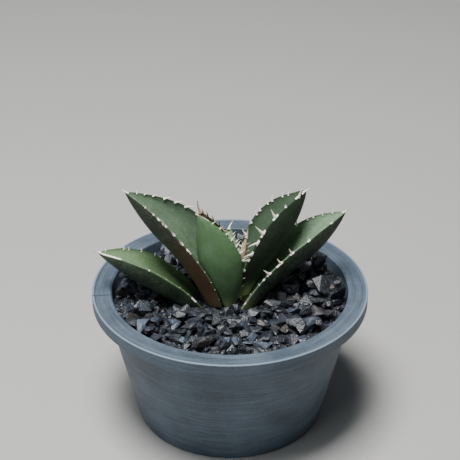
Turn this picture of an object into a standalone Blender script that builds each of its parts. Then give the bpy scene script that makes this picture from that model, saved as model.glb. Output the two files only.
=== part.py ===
"""A young potted agave: round pot, growing mix, crushed stone, stem with roots, and toothed leaves."""

import math
import random
from dataclasses import dataclass

import bmesh
import bpy
from mathutils import Quaternion, Vector

MM = 0.001
GAP = 0.0003
SEED = 11

# Pot, in metres. The origin is the middle of the foot.
POT_HEIGHT = 0.054
RIM_RADIUS = 0.0525
RIM_WIDTH = 0.0075
RIM_DROP = 0.0045
LIP_WIDTH = 0.0009
LIP_RISE = 0.0003
WALL = 0.0024
MOUTH_RADIUS = RIM_RADIUS - RIM_WIDTH
FOOT_RADIUS = 0.036
FOOT_WIDTH = 0.0045
FOOT_RISE = 0.0015
FLOOR = 0.0030
TAPER = (MOUTH_RADIUS - 0.0006 - (FOOT_RADIUS - WALL)) / (POT_HEIGHT - 0.006)
DRAIN_RADIUS = 0.0036
DRAIN_CIRCLE = 0.019
DRAIN_COUNT = 6
POT_STEPS = 64

# What fills the pot.
BED_TOP = POT_HEIGHT - 0.0062
BED_DEPTH = 0.0075
BED_HOLE = 0.0162
BED_HOLE_LOW = 0.0143
MIX_TOP = BED_TOP - BED_DEPTH - GAP
FILL_STEPS = 48

# Stem and roots.
STEM_TOP = POT_HEIGHT - 0.0125
STEM_LENGTH = 0.020
STEM_RADIUS = 0.0062
ROOT_COUNT = 7
ROOT_LENGTH = 0.024
ROOT_RADIUS = 0.0013
ROOT_TIP = 0.0004
ROOT_LEAN = math.radians(52)
ROOT_LEAN_STEP = math.radians(9)
ROOT_RING = 3
ROOT_LOWEST = 0.004
ROOT_HEIGHT_STEP = 0.0022
ROOT_START = 0.0012
ROOT_STAGGER = 0.35

# Larger stones on the bed.
STONE_COUNT = 40
STONE_SMALL = 0.0026
STONE_LARGE = 0.0052
STONE_FLATNESS = 0.50
STONE_NARROWNESS = 0.85
STONE_ROUGHNESS = 0.26
STONE_SPACING = 0.98
STONE_FILL = 0.93
STONE_TRIES = 4000
LEAF_MARGIN = 0.0006
LEAF_REACH = 1.15
CLOUD_STATIONS = 20

# Leaf mesh density and edges, with lengths in millimetres as in the leaves' own table.
LEAF_STATIONS = 12
LEAF_ARC = 7
EDGE = 0.3
INNER_SPAN = 0.97
MOST_FLESH = 0.55
LEAF_END = 0.985
CLEARANCE = 0.45
PRESS_START = -0.02
PRESS_END = 0.995
TWIST_START = 0.5
SWAY_START = 0.35
SWAY_RISE = 0.35
SWAY_FALL = 0.25
UPPER_ROUNDNESS = 1.1
BACK_ROUNDNESS = 0.9

# Teeth, with lengths in millimetres.
TOOTH_SIDES = 5
TOOTH_STOUTNESS = 0.30
TOOTH_BURIED = 1.5
TOOTH_BLUNTNESS = 0.12
TOOTH_INSET = 0.6
FIRST_TOOTH = 0.38
TOOTH_SPAN = 0.50
SPINE_RADIUS = 0.6


@dataclass
class Leaf:
    """A leaf between two points, in millimetres from the middle of the rim's plane."""

    name: str
    base: tuple
    tip: tuple
    bow: tuple
    face: tuple
    half: float
    depth: float
    flesh: float
    base_width: float = 0.6
    base_depth: float = 0.55
    widest: float = 0.47
    taper: float = 2.2
    keel_taper: float = 2.7
    flare: float = 1.0
    twist: float = 0.0
    sway: tuple = (0.0, 0.0, 0.0)
    pressed_by: tuple = ()
    teeth: int = 6
    tooth: float = 2.6
    spine: float = 4.0
    colour: tuple = (0.09, 0.19, 0.08)


LEAVES = (
    Leaf("leaf_left_low", (-9.5, 0, -10), (-50.0, -1, 15.8), (7.5, 0.5, 11.5), (0.35, 0.12, 0.92),
         8.6, 9.0, 4.5, base_width=0.65, base_depth=0.45, tooth=2.0, spine=2.4,
         pressed_by=("leaf_left_high",)),
    Leaf("leaf_left_high", (-1, 0, -6), (-39.2, 5, 38.2), (13.5, -1, 11.6), (0.77, -0.32, 0.59),
         9.8, 11.5, 4.5, base_width=0.62, base_depth=0.7, taper=2.1, twist=16.0),
    Leaf("leaf_front", (-0.4, -2, -6), (-12.0, -2, 32.4), (4.8, -1, 0.6), (0, 1, 0.2), 7.9, 4.6, 3.5,
         base_width=0.2, taper=2.1, flare=1.3, keel_taper=1.6),
    Leaf("leaf_back", (-3, 7, -4), (-0.3, 23, 13.2), (0, 0, 4), (0, -0.6, 1), 5.0, 4.5, 3.0,
         base_width=0.6, taper=1.8, teeth=5, tooth=2.2),
    Leaf("leaf_right_high", (2.8, 2.2, -4), (28.9, 12, 35.2), (-13, -1, 6.9), (-0.86, -0.06, 0.5),
         9.6, 10.8, 4.0, base_width=0.4, base_depth=0.35, widest=0.55, taper=2.7, twist=-6.0,
         sway=(-0.9, 0, 1.1)),
    Leaf("leaf_right_low", (6.5, -1.7, -9.8), (43.9, 9.2, 27.6), (-9.6, -0.7, 9.6), (-0.665, -0.113, 0.738),
         8.0, 9.2, 3.5, base_width=0.42, base_depth=0.5, widest=0.58),
    Leaf("leaf_inner", (-0.8, 2, -2), (-11.4, 3.0, 31.2), (3.2, 1, 0.6), (0, -1, 0.2), 4.4, 3.0, 2.2,
         base_width=0.5, taper=1.6, keel_taper=1.6, teeth=4, tooth=1.6, spine=4.6, colour=(0.13, 0.16, 0.07)),
    Leaf("leaf_cone", (1.0, 0.8, -2), (6.6, 0.3, 22.5), (0.5, 0, 0), (0.5, 1, 0), 1.8, 1.9, 1.6,
         base_width=0.7, taper=1.6, keel_taper=1.6, teeth=0, spine=3.0, colour=(0.35, 0.30, 0.16)),
)


def clear_scene():
    for item in list(bpy.data.objects):
        bpy.data.objects.remove(item, do_unlink=True)


def make_collection(name):
    collection = bpy.data.collections.new(name)
    bpy.context.scene.collection.children.link(collection)
    return collection


def make_material(name, colour, roughness, metallic=0.0):
    material = bpy.data.materials.new(name)
    material.use_nodes = True
    shader = material.node_tree.nodes["Principled BSDF"]
    shader.inputs["Base Color"].default_value = (*colour, 1.0)
    shader.inputs["Roughness"].default_value = roughness
    shader.inputs["Metallic"].default_value = metallic
    return material


def add_object(name, mesh, collection, material=None):
    item = bpy.data.objects.new(name, mesh)
    collection.objects.link(item)
    if material:
        mesh.materials.append(material)
    return item


def mesh_from_bmesh(name, shape):
    bmesh.ops.recalc_face_normals(shape, faces=shape.faces)
    mesh = bpy.data.meshes.new(name)
    shape.to_mesh(mesh)
    shape.free()
    return mesh


def turned(name, profile, steps, collection, material=None):
    """A body turned about Z from a profile of (radius, height) pairs."""
    mesh = bpy.data.meshes.new(name)
    points = [(radius, 0.0, height) for radius, height in profile]
    edges = [(index, index + 1) for index in range(len(points) - 1)]
    mesh.from_pydata(points, edges, [])
    item = add_object(name, mesh, collection, material)
    screw = item.modifiers.new("turn", "SCREW")
    screw.axis = "Z"
    screw.steps = steps
    screw.render_steps = steps
    screw.use_merge_vertices = True
    screw.merge_threshold = 0.00005
    return item


def boolean(item, other, operation):
    step = item.modifiers.new(operation.lower(), "BOOLEAN")
    step.operation = operation
    step.solver = "EXACT"
    step.object = other


def as_cutter(item):
    item.hide_render = True
    item.display_type = "WIRE"
    return item


def wall_radius(height):
    """Inner radius of the pot's wall at a height above the foot."""
    return FOOT_RADIUS - WALL + TAPER * height


def build_pot(collection, cutters):
    plastic = make_material("pot_plastic", (0.10, 0.13, 0.16), 0.62)
    top = POT_HEIGHT
    under_rim = top - RIM_DROP
    outer_wall = wall_radius(under_rim) + WALL
    floor_top = FOOT_RISE + FLOOR
    profile = (
        (0.0, floor_top),
        (wall_radius(floor_top) - 0.002, floor_top),
        (wall_radius(floor_top + 0.002), floor_top + 0.002),
        (wall_radius(top - 0.006), top - 0.006),
        (MOUTH_RADIUS - 0.0004, top - 0.0008),
        (MOUTH_RADIUS + 0.0002, top),
        (RIM_RADIUS - LIP_WIDTH - 0.0003, top),
        (RIM_RADIUS - LIP_WIDTH, top + LIP_RISE),
        (RIM_RADIUS - 0.0004, top + LIP_RISE),
        (RIM_RADIUS, top - 0.0004),
        (RIM_RADIUS, under_rim + 0.0006),
        (RIM_RADIUS - 0.0006, under_rim),
        (outer_wall + 0.0010, under_rim),
        (outer_wall, under_rim - 0.0010),
        (FOOT_RADIUS + 0.0004, 0.0016),
        (FOOT_RADIUS - 0.0010, 0.0),
        (FOOT_RADIUS - FOOT_WIDTH, 0.0),
        (FOOT_RADIUS - FOOT_WIDTH - 0.0008, FOOT_RISE),
        (0.0, FOOT_RISE),
    )
    pot = turned("pot", profile, POT_STEPS, collection, plastic)
    shape = bmesh.new()
    places = [Vector((0, 0, 0))]
    for index in range(DRAIN_COUNT):
        angle = 2 * math.pi * index / DRAIN_COUNT
        places.append(Vector((DRAIN_CIRCLE * math.cos(angle), DRAIN_CIRCLE * math.sin(angle), 0)))
    for place in places:
        made = bmesh.ops.create_cone(shape, cap_ends=True, segments=16, radius1=DRAIN_RADIUS,
                                     radius2=DRAIN_RADIUS, depth=0.02)
        bmesh.ops.translate(shape, verts=made["verts"], vec=place)
    drains = as_cutter(add_object("drain_cutter", mesh_from_bmesh("drain_cutter", shape), cutters))
    boolean(pot, drains, "DIFFERENCE")


def stem_body(name, clearance, collection, material=None):
    """The stem as a turned body; its roots are joined on as cones."""
    low = STEM_TOP - STEM_LENGTH
    radius = STEM_RADIUS + clearance
    profile = (
        (0.0, STEM_TOP + clearance),
        (radius * 0.55, STEM_TOP - 0.0004 + clearance),
        (radius, STEM_TOP - 0.0030 + clearance),
        (radius * 0.96, STEM_TOP - 0.0100),
        (radius * 0.75, low + 0.0040),
        (radius * 0.35, low - clearance),
        (0.0, low - 0.0010 - clearance),
    )
    return turned(name, profile, 20, collection, material)


def root_cones(name, clearance, collection):
    shape = bmesh.new()
    for index in range(ROOT_COUNT):
        angle = 2 * math.pi * (index + ROOT_STAGGER * (index % 2)) / ROOT_COUNT
        level = index % ROOT_RING
        height = STEM_TOP - STEM_LENGTH + ROOT_LOWEST + ROOT_HEIGHT_STEP * level
        lean = ROOT_LEAN + ROOT_LEAN_STEP * (level - 1)
        way = Vector((math.cos(angle) * math.sin(lean), math.sin(angle) * math.sin(lean), -math.cos(lean)))
        start = Vector((0, 0, height)) + way * ROOT_START
        length = ROOT_LENGTH + clearance
        made = bmesh.ops.create_cone(shape, cap_ends=True, segments=7, radius1=ROOT_RADIUS + clearance,
                                     radius2=ROOT_TIP + clearance, depth=length)
        turn = Vector((0, 0, 1)).rotation_difference(way).to_matrix()
        bmesh.ops.rotate(shape, verts=made["verts"], cent=(0, 0, 0), matrix=turn)
        bmesh.ops.translate(shape, verts=made["verts"], vec=start + way * length / 2)
    return add_object(name, mesh_from_bmesh(name, shape), collection)


def self_union(item):
    """Joins an object's own crossing shells into one surface."""
    step = item.modifiers.new("join", "BOOLEAN")
    step.operation = "UNION"
    step.solver = "EXACT"
    step.use_self = True
    return step


def build_stem(collection, cutters):
    bark = make_material("stem_bark", (0.20, 0.14, 0.08), 0.8)
    stem = stem_body("stem_with_roots", 0.0, collection, bark)
    roots = as_cutter(root_cones("root_shapes", 0.0, cutters))
    self_union(stem).object = roots


def build_fill(collection, cutters):
    """Growing mix up to the bed, with the hollow that the stem and roots fill."""
    soil = make_material("growing_mix", (0.05, 0.035, 0.025), 0.95)
    stone = make_material("lava_grit", (0.035, 0.037, 0.042), 0.8)
    floor_top = FOOT_RISE + FLOOR + GAP
    mix_low = wall_radius(floor_top) - 0.0026
    profile = (
        (0.0, MIX_TOP),
        (wall_radius(MIX_TOP) - GAP, MIX_TOP),
        (wall_radius(floor_top + 0.0024) - GAP, floor_top + 0.0024),
        (mix_low, floor_top),
        (0.0, floor_top),
    )
    mix = turned("growing_mix", profile, FILL_STEPS, collection, soil)
    hollow = as_cutter(stem_body("stem_hollow", GAP, cutters))
    boolean(mix, hollow, "DIFFERENCE")
    root_hollow = as_cutter(root_cones("root_hollow", GAP, cutters))
    step = mix.modifiers.new("roots", "BOOLEAN")
    step.operation = "DIFFERENCE"
    step.solver = "EXACT"
    step.use_self = True
    step.object = root_hollow

    bed_low = BED_TOP - BED_DEPTH
    ring = (
        (BED_HOLE_LOW, bed_low),
        (BED_HOLE, BED_TOP),
        (wall_radius(BED_TOP) - GAP, BED_TOP),
        (wall_radius(bed_low) - GAP, bed_low),
        (BED_HOLE_LOW, bed_low),
    )
    bed = turned("stone_bed", ring, FILL_STEPS, collection, stone)
    press(bed, ("leaf_left_low", "leaf_left_high", "leaf_right_low"), cutters)


def bezier(points, share):
    first, middle, last = points
    rest = 1 - share
    return first * rest * rest + middle * 2 * rest * share + last * share * share


def bezier_way(points, share):
    first, middle, last = points
    return ((middle - first) * (1 - share) + (last - middle) * share).normalized()


def swell(share, base, widest, taper):
    """A leaf's width or depth along its length, as a share of its greatest."""
    if share < widest:
        return base + (1 - base) * math.sin(share / widest * math.pi / 2)
    return 1 - ((share - widest) / (1 - widest)) ** taper


def smooth_step(share):
    """A share held between zero and one, with soft ends."""
    held = min(max(share, 0.0), 1.0)
    return held * held * (3 - 2 * held)


def leaf_half(leaf, share):
    """Half of a leaf's width; a flare above one narrows it more towards the base."""
    lift = min(1.0, max(share, 0.0) / leaf.widest) ** (leaf.flare - 1)
    return leaf.half * swell(share, leaf.base_width, leaf.widest, leaf.taper) * lift


def leaf_frame(leaf, share):
    """Centre between the margins, way along the leaf, upper face's normal and way across."""
    base = Vector(leaf.base)
    tip = Vector(leaf.tip)
    points = (base, (base + tip) / 2 + Vector(leaf.bow), tip)
    swayed = smooth_step((share - SWAY_START) / SWAY_RISE) * smooth_step((1 - share) / SWAY_FALL)
    centre = bezier(points, share) + Vector(leaf.sway) * swayed
    way = bezier_way(points, share)
    hint = Vector(leaf.face)
    normal = (hint - way * hint.dot(way)).normalized()
    turned_by = math.radians(leaf.twist) * smooth_step((share - TWIST_START) / (1 - TWIST_START))
    normal.rotate(Quaternion(way, turned_by))
    return centre, way, normal, way.cross(normal)


def leaf_loop(leaf, share, extra=0.0):
    """One closed section of a leaf, upper face first, then round the back, fuller by extra."""
    centre, _, normal, across = leaf_frame(leaf, share)
    half = leaf_half(leaf, share)
    depth = leaf.depth * swell(share, leaf.base_depth, leaf.widest, leaf.keel_taper)
    channel = depth - min(leaf.flesh, depth * MOST_FLESH)
    edge = EDGE + extra
    loop = []
    for index in range(LEAF_ARC):
        angle = math.pi * index / (LEAF_ARC - 1)
        side = -(half * INNER_SPAN + extra) * math.cos(angle)
        loop.append(centre + across * side - normal * (channel * math.sin(angle) ** UPPER_ROUNDNESS - edge))
    for index in range(LEAF_ARC):
        angle = math.pi * (1 - index / (LEAF_ARC - 1))
        side = -(half + extra) * math.cos(angle)
        loop.append(centre + across * side - normal * (depth * math.sin(angle) ** BACK_ROUNDNESS + edge))
    return [to_world(point) for point in loop]


def to_world(point):
    return Vector((0, 0, POT_HEIGHT)) + point * MM


def add_tooth(shape, root, way, length, radius):
    """A pointed cone that starts inside the leaf and stands out of it."""
    buried = radius * TOOTH_BURIED
    made = bmesh.ops.create_cone(shape, cap_ends=True, segments=TOOTH_SIDES, radius1=radius,
                                 radius2=radius * TOOTH_BLUNTNESS, depth=length + buried)
    turn = Vector((0, 0, 1)).rotation_difference(way).to_matrix()
    bmesh.ops.rotate(shape, verts=made["verts"], cent=(0, 0, 0), matrix=turn)
    bmesh.ops.translate(shape, verts=made["verts"], vec=root + way * (length - buried) / 2)


def blade_mesh(name, leaf, extra=0.0):
    """A leaf's body without its teeth, as one closed loft."""
    shape = bmesh.new()
    loops = []
    start, end = (PRESS_START, PRESS_END) if extra else (0.0, LEAF_END)
    for index in range(LEAF_STATIONS):
        share = start + (end - start) * index / (LEAF_STATIONS - 1)
        loops.append([shape.verts.new(point) for point in leaf_loop(leaf, share, extra)])
    count = len(loops[0])
    for first, second in zip(loops, loops[1:]):
        for index in range(count):
            after = (index + 1) % count
            shape.faces.new((first[index], first[after], second[after], second[index]))
    shape.faces.new(loops[0])
    shape.faces.new(loops[-1])
    bmesh.ops.triangulate(shape, faces=[face for face in shape.faces if len(face.verts) > 4])
    return mesh_from_bmesh(name, shape)


def press(item, names, cutters):
    """Cuts the hollows that a neighbour's back presses into a softer or looser piece."""
    for leaf in LEAVES:
        if leaf.name in names:
            name = f"{leaf.name}_in_{item.name}"
            hollow = as_cutter(add_object(name, blade_mesh(name, leaf, CLEARANCE), cutters))
            boolean(item, hollow, "DIFFERENCE")


def build_leaf(leaf, collection, cutters):
    skin = make_material(leaf.name + "_skin", leaf.colour, 0.55)
    blade = add_object(leaf.name, blade_mesh(leaf.name, leaf), collection, skin)
    press(blade, leaf.pressed_by, cutters)

    teeth = bmesh.new()
    for index in range(leaf.teeth):
        share = FIRST_TOOTH + TOOTH_SPAN * index / max(leaf.teeth - 1, 1)
        centre, way, normal, across = leaf_frame(leaf, share)
        half = leaf_half(leaf, share)
        length = leaf.tooth * (0.75 + 0.25 * (index % 2)) * MM
        inset = min(TOOTH_INSET, half * 0.35)
        for side in (-1, 1):
            out = (across * side * 0.8 + normal * 0.45 - way * 0.25).normalized()
            root = to_world(centre + across * side * (half - inset) - normal * 0.25)
            add_tooth(teeth, root, out, length, TOOTH_STOUTNESS * leaf.tooth * MM)
    centre, way, _, _ = leaf_frame(leaf, LEAF_END)
    add_tooth(teeth, to_world(centre), way, leaf.spine * MM, SPINE_RADIUS * MM)
    name = leaf.name + "_points"
    points = as_cutter(add_object(name, mesh_from_bmesh(name, teeth), cutters))
    boolean(blade, points, "UNION")


def leaf_cloud():
    """Points along every leaf's back, used to keep stones clear of the leaves."""
    cloud = []
    for leaf in LEAVES:
        for index in range(CLOUD_STATIONS):
            cloud.extend(leaf_loop(leaf, index / CLOUD_STATIONS))
    return cloud


def stone_places(chance, cloud):
    """Seeded places and sizes of stones that clear each other, the wall and the leaves."""
    stones = []
    reach = wall_radius(BED_TOP)
    for _ in range(STONE_TRIES):
        size = chance.uniform(STONE_SMALL, STONE_LARGE)
        angle = chance.uniform(0, 2 * math.pi)
        ring = math.sqrt(chance.uniform((BED_HOLE + size) ** 2, (reach - size * 1.1) ** 2))
        place = Vector((ring * math.cos(angle), ring * math.sin(angle), BED_TOP + GAP + size * 0.5))
        if any((place - other).length < (size + far) * STONE_SPACING for other, far in stones):
            continue
        if any((place - point).length < size * LEAF_REACH + LEAF_MARGIN for point in cloud):
            continue
        stones.append((place, size))
        if len(stones) == STONE_COUNT:
            break
    return stones


def build_stones(collection):
    """Angular crushed stones that lie on the bed, each a node of its own."""
    chance = random.Random(SEED)
    stone = make_material("crushed_stone", (0.05, 0.052, 0.058), 0.7)
    for number, (place, size) in enumerate(stone_places(chance, leaf_cloud()), start=1):
        shape = bmesh.new()
        bmesh.ops.create_icosphere(shape, subdivisions=1, radius=size * STONE_FILL)
        for vert in shape.verts:
            vert.co *= chance.uniform(1 - STONE_ROUGHNESS, 1.0)
            vert.co.x *= STONE_NARROWNESS
            vert.co.z *= STONE_FLATNESS
        turn = chance.uniform(0, 2 * math.pi)
        item = add_object(f"stone_{number:02d}", mesh_from_bmesh("stone", shape), collection, stone)
        lowest = min(vert.co.z for vert in item.data.vertices)
        item.rotation_euler = (0, 0, turn)
        item.location = (place.x, place.y, BED_TOP + GAP - lowest)


def main():
    clear_scene()
    collection = make_collection("potted_agave")
    cutters = make_collection("cutters")
    build_pot(collection, cutters)
    build_fill(collection, cutters)
    build_stem(collection, cutters)
    for leaf in LEAVES:
        build_leaf(leaf, collection, cutters)
    build_stones(collection)


main()
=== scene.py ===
"""Looks of a young potted agave: a toothed rosette in a round pot, dressed with crushed lava."""

import logging
import math
import random
from dataclasses import dataclass, field
from enum import Enum
from typing import Callable, Sequence

import bmesh
import bpy
from mathutils import Matrix, Quaternion, Vector, noise
from mathutils.bvhtree import BVHTree


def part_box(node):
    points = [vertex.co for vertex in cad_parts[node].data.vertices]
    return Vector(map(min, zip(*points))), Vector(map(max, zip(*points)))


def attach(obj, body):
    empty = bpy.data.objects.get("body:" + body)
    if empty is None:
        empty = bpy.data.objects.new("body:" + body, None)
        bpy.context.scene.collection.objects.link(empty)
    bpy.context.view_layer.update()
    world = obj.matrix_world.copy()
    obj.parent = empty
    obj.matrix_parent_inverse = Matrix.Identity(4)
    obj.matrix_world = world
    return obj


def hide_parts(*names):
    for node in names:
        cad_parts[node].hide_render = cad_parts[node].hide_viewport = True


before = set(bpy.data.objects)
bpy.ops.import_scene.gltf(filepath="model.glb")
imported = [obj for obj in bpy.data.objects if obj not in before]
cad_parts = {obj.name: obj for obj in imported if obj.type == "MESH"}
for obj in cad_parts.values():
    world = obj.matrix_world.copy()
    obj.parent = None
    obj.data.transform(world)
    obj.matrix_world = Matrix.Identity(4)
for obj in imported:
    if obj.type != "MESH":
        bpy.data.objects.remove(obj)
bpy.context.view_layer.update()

LOG = logging.getLogger("potted_agave")
MM = 0.001
TURN = 2 * math.pi
SHARP_ANGLE = math.radians(50)

Term = "Value | float | Sequence[float]"


# ---------------------------------------------------------------- shader maths


def _method(operation: str, reflected: bool = False) -> "Callable[[Value, Term], Value]":
    """Makes one of a wrapped socket's arithmetic methods.

    Args:
        operation: The Math node's operation.
        reflected: Whether the socket stands on the right of the sign.

    Returns:
        The method.
    """
    def method(self: "Value", other: "Term") -> "Value":
        """Adds the Math node."""
        return self.book.maths(operation, *((other, self) if reflected else (self, other)))

    return method


class Value:
    """A node's output socket that takes part in Python arithmetic."""

    def __init__(self, book: "NodeBook", socket: bpy.types.NodeSocket) -> None:
        """Wraps a socket.

        Args:
            book: The material's node book, which adds the Math nodes.
            socket: The output socket to wrap.
        """
        self.book = book
        self.socket = socket

    __add__, __radd__ = _method("ADD"), _method("ADD", True)
    __sub__, __rsub__ = _method("SUBTRACT"), _method("SUBTRACT", True)
    __mul__, __rmul__ = _method("MULTIPLY"), _method("MULTIPLY", True)
    __pow__ = _method("POWER")

    def clamped(self) -> "Value":
        """This value held between zero and one."""
        return self.book.maths("ADD", self, 0.0, clamp=True)

    def between(self, low: float, high: float) -> "Value":
        """A smooth step that is zero at low and one at high.

        Args:
            low: The value that gives zero.
            high: The value that gives one; it may be below low.

        Returns:
            The stepped value.
        """
        share = ((self - low) * (1.0 / (high - low))).clamped()
        return share * share * (3.0 - 2.0 * share)


class NodeBook:
    """Builds one material's nodes; every kind of node comes from the same method."""

    def __init__(self, name: str) -> None:
        """Makes an empty material.

        Args:
            name: The material's name.
        """
        self.material = bpy.data.materials.new(name)
        self.material.use_nodes = True
        self.tree = self.material.node_tree
        self.tree.nodes.clear()
        self.output = self.tree.nodes.new("ShaderNodeOutputMaterial")
        self.shader = self.tree.nodes.new("ShaderNodeBsdfPrincipled")
        self.tree.links.new(self.shader.outputs["BSDF"], self.output.inputs["Surface"])

    def _feed(self, socket: bpy.types.NodeSocket, term: "Term") -> None:
        """Links a value to a socket, or sets the socket to a number or a colour.

        Args:
            socket: The input socket.
            term: The value, number or colour.
        """
        if isinstance(term, Value):
            self.tree.links.new(term.socket, socket)
        elif isinstance(term, (tuple, list)) and len(term) == 3 and socket.type == "RGBA":
            socket.default_value = (*term, 1.0)
        else:
            socket.default_value = term

    def node(self, kind: str, settings: dict | None = None, inputs: dict | None = None,
             output: int | str = 0) -> Value:
        """Adds a node of any type.

        Args:
            kind: The node's type.
            settings: Its properties, set first; "stops" are a ramp's (place, colour) pairs.
            inputs: Values or links of its sockets, by name or number.
            output: The output that is wanted.

        Returns:
            The wanted output.
        """
        made = self.tree.nodes.new(kind)
        for key, setting in (settings or {}).items():
            if key == "stops":
                self._set_stops(made.color_ramp, setting)
            else:
                setattr(made, key, setting)
        for key, term in (inputs or {}).items():
            self._feed(made.inputs[key], term)
        return Value(self, made.outputs[output])

    @staticmethod
    def _set_stops(ramp: bpy.types.ColorRamp, stops: Sequence[tuple]) -> None:
        """Gives a ramp its stops.

        Args:
            ramp: The colour ramp.
            stops: Place and colour of each stop.
        """
        while len(ramp.elements) < len(stops):
            ramp.elements.new(1.0)
        for element, (place, colour) in zip(ramp.elements, stops):
            element.position = place
            element.color = (*colour, 1.0)

    def maths(self, operation: str, *terms: "Term", clamp: bool = False) -> Value:
        """A Math node on numbers."""
        settings = {"operation": operation, "use_clamp": clamp}
        return self.node("ShaderNodeMath", settings, dict(enumerate(terms)))

    def mix(self, factor: "Term", first: "Term", second: "Term") -> Value:
        """Mixes two colours.

        Args:
            factor: Share of the second colour.
            first: The colour at zero.
            second: The colour at one.

        Returns:
            The mixed colour.
        """
        return self.node("ShaderNodeMix", {"data_type": "RGBA", "clamp_factor": True},
                         {0: factor, 6: first, 7: second}, 2)

    def attribute(self, name: str, output: str = "Fac") -> Value:
        """A mesh attribute."""
        return self.node("ShaderNodeAttribute", {"attribute_name": name}, output=output)

    def place(self) -> Value:
        """The object's own coordinates, in metres."""
        return self.node("ShaderNodeTexCoord", output="Object")

    def stretched(self, vector: Value, scale: Sequence[float]) -> Value:
        """A vector with each axis multiplied."""
        return self.node("ShaderNodeVectorMath", {"operation": "MULTIPLY"}, {0: vector, 1: scale})

    def part(self, vector: Value, axis: int) -> Value:
        """One coordinate of a vector."""
        return self.node("ShaderNodeSeparateXYZ", {}, {0: vector}, axis)

    def noise(self, vector: Value, scale: float, detail: float = 3.0, roughness: float = 0.55) -> Value:
        """Noise between zero and one.

        Args:
            vector: Where it is read.
            scale: Cells in a unit of the vector.
            detail: Octaves.
            roughness: Weight of the finer octaves.

        Returns:
            The noise value.
        """
        return self.node("ShaderNodeTexNoise", {}, {"Vector": vector, "Scale": scale, "Detail": detail,
                                                    "Roughness": roughness})

    def cells(self, vector: Value, scale: float) -> Value:
        """Distance from the nearest of many scattered points."""
        return self.node("ShaderNodeTexVoronoi", {}, {"Vector": vector, "Scale": scale}, "Distance")

    def bump(self, height: Value, strength: float, distance: float) -> Value:
        """A bumped normal.

        Args:
            height: The height pattern.
            strength: How much of it shows.
            distance: Depth of one unit of height, in metres.

        Returns:
            The normal.
        """
        return self.node("ShaderNodeBump", {}, {"Height": height, "Strength": strength, "Distance": distance})

    def finish(self, **sockets: "Term") -> bpy.types.Material:
        """Feeds the shader's sockets.

        Args:
            **sockets: A value for each socket, named with underscores for spaces.

        Returns:
            The finished material.
        """
        for key, term in sockets.items():
            self._feed(self.shader.inputs[key.replace("_", " ")], term)
        return self.material


# ---------------------------------------------------------------- finishes

Colour = tuple[float, float, float]


def scaled(colour: Colour, factor: float) -> Colour:
    """A lighter or darker colour of the same hue."""
    return tuple(shade * factor for shade in colour)


@dataclass(frozen=True)
class PotFinish:
    """Matt blue-grey plastic with fine turned lines, dust and scuffs, a painted highlight along the outer lip
    and painted shade in the seam.
    """

    name: str = "pot_plastic"
    colour: Colour = (0.036, 0.060, 0.090)
    pale_tone_and_highlight: Colour = (0.118, 0.160, 0.205)
    dusk: Colour = (0.020, 0.030, 0.042)
    roughness: float = 0.55
    seam_roughness: float = 0.4
    relief: float = 0.09 * MM
    line_scale: float = 2600.0
    band_scale: float = 900.0
    cloud_scale: float = 60.0
    grain_scale: float = 1700.0
    fleck_scale: float = 2300.0
    round_squeeze: float = 0.0012

    def build(self) -> bpy.types.Material:
        """Makes the material.

        Returns:
            The material, with lines that run round the pot's axis.
        """
        book = NodeBook(self.name)
        place = book.place()
        x, y, z = (book.part(place, axis) for axis in range(3))
        radius = (x * x + y * y) ** 0.5
        angle = book.maths("ARCTAN2", y, x)
        turned = book.node("ShaderNodeCombineXYZ", {}, {0: radius, 1: angle * self.round_squeeze, 2: z})
        lines = book.noise(turned, self.line_scale, 3.0, 0.7)
        bands = book.noise(turned, self.band_scale, 2.0, 0.5)
        cloud = book.noise(place, self.cloud_scale, 4.0, 0.6)
        grain = book.noise(place, self.grain_scale, 4.0, 0.75)
        fleck = book.noise(place, self.fleck_scale, 1.0, 0.5).between(0.64, 0.74)
        wear = book.attribute("wear")
        seam = book.attribute("parting")

        tone = (lines * 0.50 + bands * 0.25 + cloud * 0.40 + grain * 0.40).between(0.58, 1.0)
        body = book.mix(0.30, book.mix(tone, self.dusk, self.pale_tone_and_highlight), self.colour)
        # Painted highlight: the raised outer lip is made paler, broken up by the grain.
        body = book.mix((wear * (grain * 0.7 + 0.55)).clamped(), body, scaled(self.pale_tone_and_highlight, 1.5))
        body = book.mix(fleck * 0.35, body, self.pale_tone_and_highlight)
        # Painted shade: the seam's nearly flat groove is coloured dark.
        body = book.mix((seam * 1.3).clamped(), body, self.dusk)
        normal = book.bump(lines * 0.7 + grain * 0.6, 0.8, self.relief)
        rough = self.roughness + (grain - 0.5) * 0.25 + (lines - 0.5) * 0.2 + seam * self.seam_roughness
        return book.finish(Base_Color=body, Roughness=rough, Normal=normal)


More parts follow.
